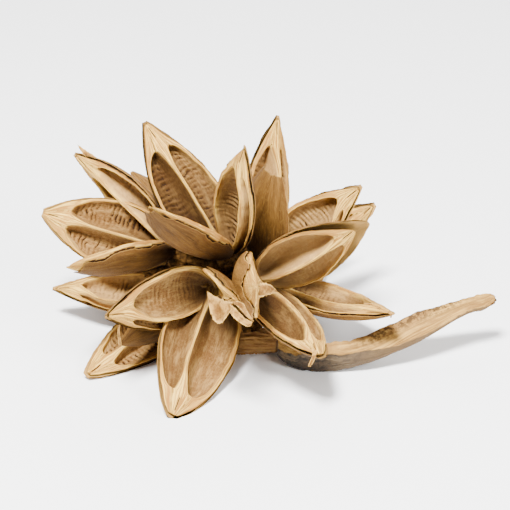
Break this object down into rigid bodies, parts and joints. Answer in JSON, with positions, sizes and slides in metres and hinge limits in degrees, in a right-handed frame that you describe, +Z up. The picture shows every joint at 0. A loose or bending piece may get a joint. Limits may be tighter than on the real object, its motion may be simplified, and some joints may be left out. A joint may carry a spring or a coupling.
{
  "type": "dried seed pod head",
  "caption": "Dried star-shaped head of split woody seed capsules on a short cut stalk, with a long trough-shaped dry bract trailing to one side.",
  "frame": {"origin": "On the table, under the middle of the pod's bounding box.", "axes": "+Z is up from the table. +X runs from the head towards the tip of the long bract, the pod's longest direction. -Y is the front, the side that the head opens towards. The pod is stored standing as it lies on a table."},
  "size_m": [0.2501, 0.1831, 0.1269],
  "materials": {
    "capsule_wood": "dry matt wood, pale tan",
    "stalk_bark": "dry matt bark, brown",
    "bract_leaf": "dry matt leaf, grey brown"
  },
  "bodies": {
    "root": {"stalk": "stalk_bark", "bract": "bract_leaf", "capsule_top": "capsule_wood", "capsule_top_right": "capsule_wood", "capsule_left": "capsule_wood", "capsule_front": "capsule_wood", "capsule_lower_left": "capsule_wood", "capsule_front_right": "capsule_wood", "capsule_right": "capsule_wood", "capsule_back_left": "capsule_wood", "capsule_back": "capsule_wood", "capsule_back_right": "capsule_wood"}
  },
  "joints": []
}
